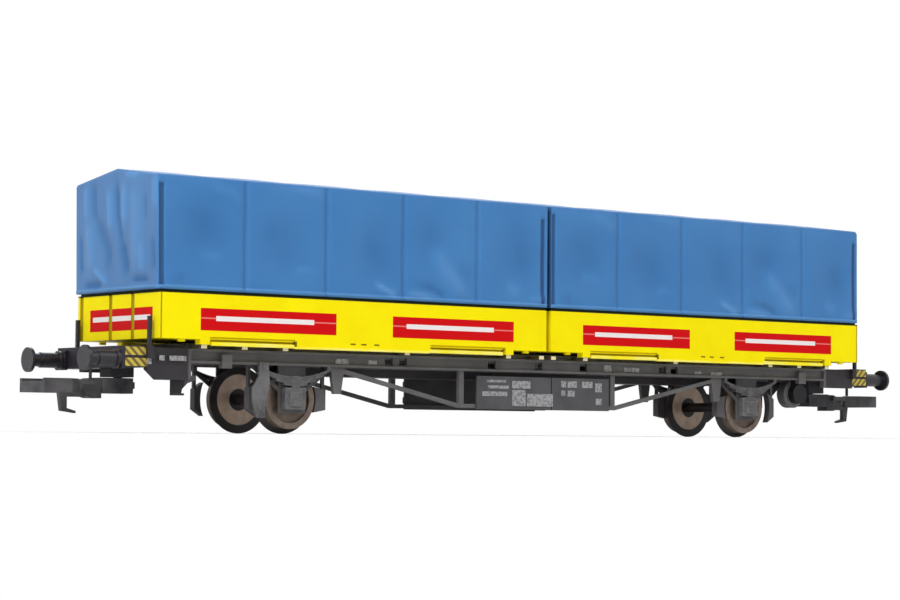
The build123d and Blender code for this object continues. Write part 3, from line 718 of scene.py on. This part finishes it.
# folds in a long side: panel, points as shares of its width and height, width, height
SIDE_FOLDS = (
    (0, ((0.55, 0.92), (0.80, 0.88), (0.96, 0.78)), 1.1, 0.26),
    (1, ((0.55, 0.95), (0.98, 0.90)), 0.9, 0.22),
    (1, ((0.60, 0.26), (0.86, 0.20)), 0.7, 0.18),
    (2, ((0.60, 0.15), (0.78, 0.09), (0.94, 0.05)), 0.55, 0.36),
    (3, ((0.02, 0.08), (0.24, 0.06), (0.50, 0.05)), 0.55, 0.30),
    (3, ((0.36, 0.52), (0.56, 0.30), (0.74, 0.14), (0.86, 0.05)), 1.6, 0.44),
    (3, ((0.28, 0.16), (0.56, 0.05)), 0.8, -0.28),
    (4, ((0.70, 0.06), (0.90, 0.07), (1.02, 0.12)), 0.7, 0.28),
)
# painted highlight and painted shade streaks on a long side: panel, points as for the folds, width, tone
SIDE_PAINTED_STREAKS = (
    (0, ((0.30, 0.76), (0.55, 0.58), (0.76, 0.40)), 2.2, -0.10),
    (0, ((0.44, 0.33), (0.74, 0.31)), 1.0, 0.34),
    (0, ((0.12, 0.12), (0.30, 0.10)), 1.1, -0.55),
    (1, ((0.22, 0.60), (0.40, 0.54)), 2.0, -0.14),
    (1, ((0.58, 0.21), (0.80, 0.25)), 0.9, 0.36),
    (2, ((0.48, 0.60), (0.62, 0.44), (0.92, 0.22)), 2.2, -0.08),
    (2, ((0.62, 0.14), (0.76, 0.085), (0.90, 0.03)), 0.45, 1.00),
    (3, ((0.28, 0.64), (0.50, 0.54)), 2.4, -0.16),
    (3, ((0.40, 0.38), (0.60, 0.24), (0.84, 0.05)), 1.8, 0.06),
    (3, ((0.72, 0.34), (0.92, 0.28)), 1.5, -0.26),
    (3, ((0.02, 0.06), (0.20, 0.05), (0.38, 0.035)), 0.45, 0.55),
    (3, ((0.10, 0.18), (0.42, 0.11), (0.60, 0.04)), 0.7, -0.50),
    (4, ((0.58, 0.64), (0.70, 0.34)), 1.8, -0.14),
    (4, ((0.40, 0.21), (0.58, 0.11)), 1.2, 0.36),
)
# folds in an end: points across and above the foot in millimetres, width, height
END_FOLDS = (
    (((7.4, 20.4), (7.1, 14.4), (6.0, 13.0)), 0.95, -0.24),
    (((6.0, 13.6), (4.2, 10.4), (2.4, 7.4), (2.1, 3.6)), 1.45, -0.30),
    (((-0.6, 20.4), (-0.8, 13.8), (-1.9, 10.0), (-2.6, 7.6)), 0.70, -0.36),
    (((-2.3, 8.8), (-3.6, 5.2), (-3.9, 2.6)), 1.30, -0.36),
    (((9.9, 19.6), (9.7, 13.2)), 0.90, 0.36),
    (((9.3, 13.4), (8.1, 3.6)), 1.50, 0.36),
    (((7.3, 4.4), (5.3, 3.0), (2.6, 1.3)), 0.60, 0.52),
    (((2.0, 18.6), (1.7, 15.8), (1.3, 10.6)), 0.80, 0.50),
    (((-3.7, 19.4), (-3.3, 16.1), (-3.4, 11.6)), 0.90, 0.44),
    (((-6.7, 19.4), (-7.6, 2.8)), 1.90, 0.30),
    (((-9.3, 8.6), (-9.4, 3.0)), 0.80, 0.26),
    (((-13.6, 20.0), (-13.6, 14.0)), 0.80, 0.36),
    (((-3.5, 20.9), (-8.3, 20.5)), 0.70, 0.40),
    (((11.1, 1.4), (4.3, 1.4)), 0.60, -0.50),
    (((-5.5, 1.9), (-11.5, 1.9)), 0.60, -0.50),
    (((12.3, 11.0), (12.1, 3.0)), 0.60, -0.34),
    (((-10.4, 17.6), (-10.4, 12.2)), 0.60, -0.22),
    (((-12.9, 9.4), (-13.3, 3.0)), 0.70, -0.26),
)


def hem_shape(level):
    """The rolled hem's share of its full thickness at a height above the hood's foot."""
    return max(0.0, 1 - ((level - HEM_MIDDLE) / HEM_HALF) ** 2)


class Hood:
    """One tarpaulin hood: its measures, and the shape and the painted light and shade of its faces at
    each place.
    """

    def __init__(self, end, sx):
        self.end = end
        self.sx = sx
        self.low, self.high = box_mm(f"hood_{end}")
        self.half_y = self.high.y
        self.panel = (self.high.x - self.low.x) / PANELS
        self.eave = RAIL_Z + EAVE_H
        self.height = self.eave - self.low.z
        self.seams = [self.low.x + number * self.panel for number in range(1, PANELS)]
        from_left, from_right = GROOVE_INSETS[end]
        self.grooves = (self.low.x + from_left, self.high.x - from_right)
        self.outer_x = self.low.x if sx < 0 else self.high.x

    def roof_z(self, y):
        return self.eave + (self.high.z - self.eave) * (1 - abs(y) / self.half_y)

    def end_z(self, y, level):
        """Height of an end's grid at y, where only the top rows follow the gable."""
        return self.low.z + level + (level / self.height) ** GABLE_POWER * (self.roof_z(y) - self.eave)

    def grid_x(self):
        """Places along the hood, with extra ones at seams, grooves and rounded edges."""
        lines = [(seam, (0, SEAM_HALF, SEAM_HALF + SEAM_WALL)) for seam in self.seams]
        lines += [(groove, (0, GROOVE_HALF, GROOVE_HALF + GROOVE_WALL)) for groove in self.grooves]
        extra = [middle + sign * gap for middle, gaps in lines for gap in gaps for sign in (-1, 1)]
        extra += [self.low.x + gap for gap in ROUNDING] + [self.high.x - gap for gap in ROUNDING]
        return spaced(self.low.x, self.high.x, GRID, sorted(set(extra)))

    def grid_y(self):
        extra = [sign * (self.half_y - gap) for gap in ROUNDING for sign in (-1, 1)]
        return spaced(-self.half_y, self.half_y, GRID, extra)

    def grid_levels(self):
        """Heights above the foot, with extra ones over the hem and below the eave."""
        hem_levels = [HEM_MIDDLE + share * HEM_HALF for share in HEM_LINES]
        return spaced(0.0, self.height, GRID, hem_levels + [self.height - gap for gap in ROUNDING])

    def plain_faces(self):
        """The hood's two sides, two ends and roof as flat grids, joined at their edges."""
        mesh = bmesh.new()
        xs, ys, levels = self.grid_x(), self.grid_y(), self.grid_levels()
        for y in (-self.half_y, self.half_y):
            patch(mesh, xs, levels, lambda x, level: (x, y, self.low.z + level))
        for x in (self.low.x, self.high.x):
            patch(mesh, ys, levels, lambda y, level: (x, y, self.end_z(y, level)))
        patch(mesh, xs, ys, lambda x, y: (x, y, self.roof_z(y)))
        bmesh.ops.remove_doubles(mesh, verts=mesh.verts, dist=TOUCH)
        bmesh.ops.recalc_face_normals(mesh, faces=mesh.faces)
        return mesh

    def ripple(self, place, z, rise, size, size_z, seed):
        """Fine ripples at a place, which differ from one hood to the other."""
        return rise * noise.noise(Vector((place / size, z / size_z, self.sx + seed)))

    def side_relief(self, x, z):
        """Dents and folds of a long side, as how far it stands proud. x is turned for the far side."""
        out = self.ripple(x, z, *SIDE_RIPPLES)
        for number, along, up, half_w, half_h, depth in SIDE_DENTS:
            a = (x - self.low.x - (number + along) * self.panel) / half_w
            b = (z - self.low.z - up * self.height) / half_h
            out -= depth * math.exp(-(a * a + b * b))
        for number, points, width, rise in SIDE_FOLDS:
            out += rise * stroke(x, z, self.side_line(number, points), width)
        return out

    def side_streak_shading(self, x, z):
        """The painted highlights and painted shade of a long side's streaks at a place, apart from its
        relief.
        """
        strokes = (
            strength * stroke(x, z, self.side_line(number, points), width)
            for number, points, width, strength in SIDE_PAINTED_STREAKS
        )
        return sum(strokes)

    def side_line(self, number, points):
        """Points given as shares of a panel's width and the side's height, in millimetres."""
        return [
            (self.low.x + (number + along) * self.panel, self.low.z + up * self.height)
            for along, up in points
        ]

    def end_relief(self, y, z):
        """The folds of an end, as how far it stands proud."""
        level = z - self.low.z
        out = self.ripple(y, z, *END_RIPPLES)
        for points, width, rise in END_FOLDS:
            out += rise * stroke(y, level, points, width)
        return out

    def shape_side(self, x, y, z, from_end, from_roof):
        """A long side's push outward at a place, its painted light and shade, and its share of a slot,
        which also sets the slot's painted shade.
        """
        level = z - self.low.z
        turned = x if y < 0 else self.low.x + self.high.x - x
        hem = hem_shape(level)
        relief = self.side_relief(turned, z)
        fade = min(1.0, from_end / CORNER_R, from_roof / SIDE_FADE_TOP)
        out = fade * ((1 - HEM_SMOOTHS * hem) * relief + HEM_OUT * hem)
        seam_fade = min(1.0, from_roof / SEAM_FADE_TOP)
        for seam in self.seams:
            out -= SEAM_DEPTH * slot_shape(x - seam, SEAM_HALF, SEAM_WALL) * seam_fade
        # a groove's share, which deepens it and also sets its painted shade
        slot = 0.0
        for groove, top in zip(self.grooves, GROOVE_TOPS):
            if level > GROOVE_FOOT and from_roof > top:
                slot = max(slot, slot_shape(x - groove, GROOVE_HALF, GROOVE_WALL))
        push = Vector((0, math.copysign(1, y) * (out - GROOVE_DEPTH * slot), 0))
        # a painted shade line below the eave
        eave_shade = EAVE_SHADE_TONE * max(0.0, 1 - from_roof / EAVE_SHADE_HEIGHT)
        # painted light and shade that follow the relief, plus the painted streaks
        tone = SIDE_TONE * relief / FULL_TONE + self.side_streak_shading(turned, z)
        return push, tone + SIDE_HEM_HIGHLIGHT * hem - eave_shade, slot

    def shape_end(self, x, y, z, from_side, from_roof):
        """An end's push outward at a place, its painted light and shade, and its share of painted slot
        shade.
        """
        outer = abs(x - self.outer_x) < 1
        share = 1.0 if outer else INNER_END_SHARE
        hem = hem_shape(z - self.low.z)
        # the end's folds, which also set its painted light and shade
        relief = share * (1 - HEM_SMOOTHS * hem) * self.end_relief(y, z)
        fade = min(1.0, from_side / END_FADE_SIDE, from_roof / END_FADE_TOP)
        outward = math.copysign(1, x - (self.low.x + self.high.x) / 2)
        push = Vector((outward * fade * (relief + share * HEM_OUT * hem), 0, 0))
        # an end between the hoods gets full painted slot shade, as it faces the gap
        return push, relief / FULL_TONE + END_HEM_HIGHLIGHT * hem, 0.0 if outer else 1.0

    def shape_roof(self, x, from_side, from_end):
        """The roof's dip at a place, with no painted light, shade or slot."""
        bow = abs(math.sin(math.pi * (x - self.low.x) / self.panel))
        dip = -ROOF_DIP * (1 - bow) * min(1.0, from_side / ROOF_FADE, from_end / ROOF_FADE)
        return Vector((0, 0, dip)), 0.0, 0.0

    def shape(self, x, y, z):
        """How far a place on the flat faces moves, its painted light and shade, and its share of painted
        slot shade.
        """
        from_side = self.half_y - abs(y)
        from_end = min(x - self.low.x, self.high.x - x)
        from_roof = self.roof_z(y) - z
        if from_roof < TOUCH:
            return self.shape_roof(x, from_side, from_end)
        if from_side < TOUCH:
            return self.shape_side(x, y, z, from_end, from_roof)
        return self.shape_end(x, y, z, from_side, from_roof)

    def rounded(self, place):
        """A place on the flat faces, moved in where an edge is rounded."""
        x, y, z = place
        held = Vector((
            clamp(x, self.low.x + CORNER_R, self.high.x - CORNER_R),
            clamp(y, CORNER_R - self.half_y, self.half_y - CORNER_R),
            min(z, self.roof_z(y) - CORNER_R),
        ))
        return held + (place - held).normalized() * CORNER_R

    def lean(self, x, z):
        """How far the left hood's ends lean along X at a place."""
        outer = LEAN_FOOT + LEAN_MORE_AT_TOP * (z - self.low.z) / self.height
        from_outer, from_inner = x - self.low.x, self.high.x - x
        return (
            LEAN_INNER * max(0.0, 1 - from_inner / LEAN_REACH)
            - outer * max(0.0, 1 - from_outer / LEAN_REACH)
        )

    def close_inside(self, mesh, slot_shade_layer):
        """Turns the bottom rim inward and up into plain inner walls and a ceiling."""
        for level in (self.low.z, CEILING_Z):
            rim = [edge for edge in mesh.edges if edge.is_boundary]
            made = bmesh.ops.extrude_edge_only(mesh, edges=rim)["geom"]
            for vert in (item for item in made if isinstance(item, bmesh.types.BMVert)):
                vert.co.x = clamp(vert.co.x, self.low.x + WALL, self.high.x - WALL)
                vert.co.y = clamp(vert.co.y, WALL - self.half_y, self.half_y - WALL)
                vert.co.z = level
                vert[slot_shade_layer] = 0.0
        rim = [edge for edge in mesh.edges if edge.is_boundary]
        bmesh.ops.contextual_create(mesh, geom=rim)
        bmesh.ops.remove_doubles(mesh, verts=mesh.verts, dist=TOUCH)
        bmesh.ops.dissolve_degenerate(mesh, edges=mesh.edges, dist=0.1 * TOUCH)
        bmesh.ops.recalc_face_normals(mesh, faces=mesh.faces)

    def build(self):
        """The finished shell, with its painted fold light and shade and its painted slot shade stored on
        its corners.
        """
        mesh = self.plain_faces()
        fold_shading_layer = mesh.verts.layers.float.new("fold")
        slot_shade_layer = mesh.verts.layers.float.new("slot")
        for vert in mesh.verts:
            x, y, z = vert.co
            push, vert[fold_shading_layer], vert[slot_shade_layer] = self.shape(x, y, z)
            vert.co = self.rounded(vert.co) + push
            if self.sx < 0:
                vert.co.x += self.lean(x, z)
        self.close_inside(mesh, slot_shade_layer)
        return mesh_data(f"hood_shell_{self.end}", mesh)


def make_hood(end, sx, materials):
    """One tarpaulin hood as a gabled shell with seams, hem, grooves, dents and folds."""
    data = Hood(end, sx).build()
    tarp = materials["tarp_plastic"]
    shell = add_piece(f"hood_shell_{end}", data, f"swap_body_{end}", tarp, smooth=True)
    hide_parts(f"hood_{end}")


def boxes_mesh(name, boxes, bevel):
    """One mesh of many small blocks with softened edges, each given by two corners."""
    mesh = bmesh.new()
    for low, high in boxes:
        size = Vector([abs(b - a) for a, b in zip(low, high)])
        middle = Vector([(a + b) / 2 for a, b in zip(low, high)])
        made = bmesh.ops.create_cube(mesh, size=1)
        bmesh.ops.scale(mesh, verts=made["verts"], vec=size)
        bmesh.ops.translate(mesh, verts=made["verts"], vec=middle)
    bmesh.ops.bevel(mesh, geom=mesh.edges[:], offset=bevel, segments=2, profile=0.5, affect="EDGES")
    return mesh_data(name, mesh)


# blank label plates on the boards: x from and to, height above the rail from and to
BOARD_PLATES = (
    (-13.8, -8.9, 9.5, 10.0),
    (-13.4, -8.2, 8.3, 8.9),
    (-14.9, -8.6, 6.8, 7.7),
    (-7.3, -2.6, 8.4, 9.9),
    (-7.3, -3.8, 4.9, 8.1),
    (-3.5, 3.3, 4.9, 7.4),
    (5.5, 6.8, 8.8, 10.1),
    (7.2, 9.7, 8.8, 10.1),
    (11.1, 13.9, 8.8, 10.1),
    (5.5, 6.6, 7.1, 8.2),
    (7.2, 9.1, 7.0, 8.2),
    (14.6, 16.4, 8.0, 9.8),
    (14.8, 16.4, 5.4, 6.7),
)
# the same on the solebar's web
SOLE_PLATES = (
    (-49.9, -46.8, 12.2, 13.2),
    (-42.2, -40.2, 12.3, 13.1),
    (17.6, 19.6, 12.2, 13.6),
    (23.1, 27.3, 12.3, 13.2),
    (43.2, 45.1, 12.3, 12.9),
    (47.9, 51.2, 11.7, 12.8),
)
# the same on the solebar's left end plate
END_PLATES = (
    (-91.5, -90.6, 11.2, 12.4),
    (-89.0, -87.9, 11.9, 12.8),
    (-86.9, -83.4, 11.9, 12.8),
)
PLATE_THICK = 0.08
WEB_FACE = 11.2


def make_plates(side, sy, materials):
    """The blank label plates of one side. The far side is the near side turned round."""
    board_face = box_mm("boards_far")[1].y
    lip_face = box_mm("solebar_far")[1].y
    boxes = []
    for table, face in ((BOARD_PLATES, board_face), (SOLE_PLATES, WEB_FACE), (END_PLATES, lip_face)):
        ys = (sy * face, sy * (face + PLATE_THICK))
        for start, end, foot, top in table:
            xs = (-sy * start, -sy * end)
            boxes.append(((xs[0], ys[0], RAIL_Z + foot), (xs[1], ys[1], RAIL_Z + top)))
    data = boxes_mesh(f"plates_{side}", boxes, bevel=0.02)
    add_piece(f"plates_{side}", data, "frame", materials["plate"])


# the ledge below a tray's near side: from and to along the tray, and its height above the rail
LEDGES = (
    (-33.9, -16.0, 14.72, 15.38),
    (-15.9, 15.4, 14.62, 15.02),
    (15.5, 33.6, 14.72, 15.38),
)
LEDGE_IN = 0.6
LEDGE_OUT = 0.1


def make_ledges(end, materials):
    """Thin ledges along the foot of one tray's two sides, painted paler than the tray as a painted
    highlight.
    """
    low, high = box_mm(f"tray_{end}")
    body_x = (low.x + high.x) / 2
    boxes = []
    for start, stop, foot, top in LEDGES:
        for _, sy in SIDES:
            xs = (body_x - sy * start, body_x - sy * stop)
            ys = (sy * (high.y - LEDGE_IN), sy * (high.y + LEDGE_OUT))
            boxes.append(((xs[0], ys[0], RAIL_Z + foot), (xs[1], ys[1], RAIL_Z + top)))
    data = boxes_mesh(f"ledges_{end}", boxes, bevel=0.06)
    add_piece(f"ledges_{end}", data, f"swap_body_{end}", materials["ledge"])


# the raised middle of the deck is carried on from and to these distances from the wagon's middle
RIB_END_X = (78.0, 81.8)
RIB_END_HALF_W = 10.0
RIB_END_DEPTH = 1.0


def make_rib_ends(materials):
    """The raised middle of the deck carried on a little at both ends."""
    top = box_mm("deck")[1].z
    start, end = RIB_END_X
    boxes = [
        ((sx * start, -RIB_END_HALF_W, top - RIB_END_DEPTH), (sx * end, RIB_END_HALF_W, top))
        for _, sx in ENDS
    ]
    data = boxes_mesh("rib_ends", boxes, bevel=0.05)
    add_piece("rib_ends", data, "frame", materials["deck"])


# where the camera stands, how it is turned in degrees, and its focal length
CAMERA_EYE = (-317.93, -383.08, 0.3)
CAMERA_YAW = 38.452
CAMERA_PITCH = 3.1175
CAMERA_ROLL = 0.452
CAMERA_LENS = 98.10


def make_camera():
    """At the photo's viewing angle, with the lens just above the floor."""
    data = bpy.data.cameras.new("camera")
    data.lens = CAMERA_LENS
    data.sensor_width = 36.0
    data.clip_start = 0.01
    camera = bpy.data.objects.new("camera", data)
    bpy.context.scene.collection.objects.link(camera)
    yaw, pitch, roll = (math.radians(angle) for angle in (CAMERA_YAW, CAMERA_PITCH, CAMERA_ROLL))
    forward = Vector((math.sin(yaw) * math.cos(pitch), math.cos(yaw) * math.cos(pitch), math.sin(pitch)))
    level = Vector((math.cos(yaw), -math.sin(yaw), 0))
    upright = level.cross(forward)
    right = math.cos(roll) * level + math.sin(roll) * upright
    up = math.cos(roll) * upright - math.sin(roll) * level
    turn = Matrix((right, up, -forward)).transposed().to_4x4()
    camera.matrix_world = Matrix.Translation(Vector(CAMERA_EYE) * MM) @ turn
    bpy.context.scene.camera = camera


# soft square lamps: name, place, watts, side
LAMPS = (
    ("key_left", (-820, -420, 780), 7.9, 450),
    ("fill_front", (200, -750, 850), 3.2, 500),
    ("rim_back", (500, 750, 600), 1.8, 600),
)
LAMP_AIM = (0, 0, 20)


def make_light(name, place, power, side):
    """A soft square lamp aimed at the wagon's middle."""
    data = bpy.data.lights.new(name, "AREA")
    data.energy = power
    data.size = side * MM
    lamp = bpy.data.objects.new(name, data)
    bpy.context.scene.collection.objects.link(lamp)
    lamp.location = Vector(place) * MM
    aim = Vector(LAMP_AIM) - Vector(place)
    lamp.rotation_euler = aim.to_track_quat("-Z", "Y").to_euler()


GLOW_COLOUR = (0.96, 0.98, 1.0)
GLOW_STRENGTH = 0.40


def make_surround():
    """A faint even glow on the wagon, from a surround that is seen and mirrored as white."""
    world = bpy.data.worlds.new("studio")
    bpy.context.scene.world = world
    world.use_nodes = True
    tree = world.node_tree
    shown = tree.nodes["Background"]
    shown.inputs["Color"].default_value = (1, 1, 1, 1)
    shown.inputs["Strength"].default_value = 1.0
    glow = tree.nodes.new("ShaderNodeBackground")
    glow.inputs["Color"].default_value = (*GLOW_COLOUR, 1)
    glow.inputs["Strength"].default_value = GLOW_STRENGTH
    rays = tree.nodes.new("ShaderNodeLightPath").outputs
    white = rays["Is Camera Ray"]
    for kind in ("Is Glossy Ray", "Is Transmission Ray"):
        either = tree.nodes.new("ShaderNodeMath")
        either.operation = "MAXIMUM"
        tree.links.new(white, either.inputs[0])
        tree.links.new(rays[kind], either.inputs[1])
        white = either.outputs[0]
    mix = tree.nodes.new("ShaderNodeMixShader")
    tree.links.new(white, mix.inputs["Fac"])
    tree.links.new(glow.outputs[0], mix.inputs[1])
    tree.links.new(shown.outputs[0], mix.inputs[2])
    tree.links.new(mix.outputs[0], tree.nodes["World Output"].inputs["Surface"])


FLOOR_REACH = 3000
FLOOR_PALE = (0.93, 0.93, 0.93)
# the floor turns white between these distances from the wagon's middle
FLOOR_FADE = (150.0, 240.0)


def make_floor():
    """A pale floor that fades to plain white away from the wagon."""
    reach = FLOOR_REACH * MM
    mesh = bpy.data.meshes.new("floor")
    corners = [(-reach, -reach, 0), (reach, -reach, 0), (reach, reach, 0), (-reach, reach, 0)]
    mesh.from_pydata(corners, [], [(0, 1, 2, 3)])
    floor = bpy.data.objects.new("floor", mesh)
    bpy.context.scene.collection.objects.link(floor)
    paint = Shader("floor_paint", FLOOR_PALE, 0.9)
    paint.whiten_beyond(*FLOOR_FADE)
    mesh.materials.append(paint.material)


materials = make_materials()
dress_cad_nodes(materials)
for end, sx in ENDS:
    make_hood(end, sx, materials)
    make_ledges(end, materials)
for side, sy in SIDES:
    make_plates(side, sy, materials)
make_rib_ends(materials)
make_camera()
make_surround()
make_floor()
for lamp in LAMPS:
    make_light(*lamp)
bpy.context.scene.view_settings.view_transform = "Standard"
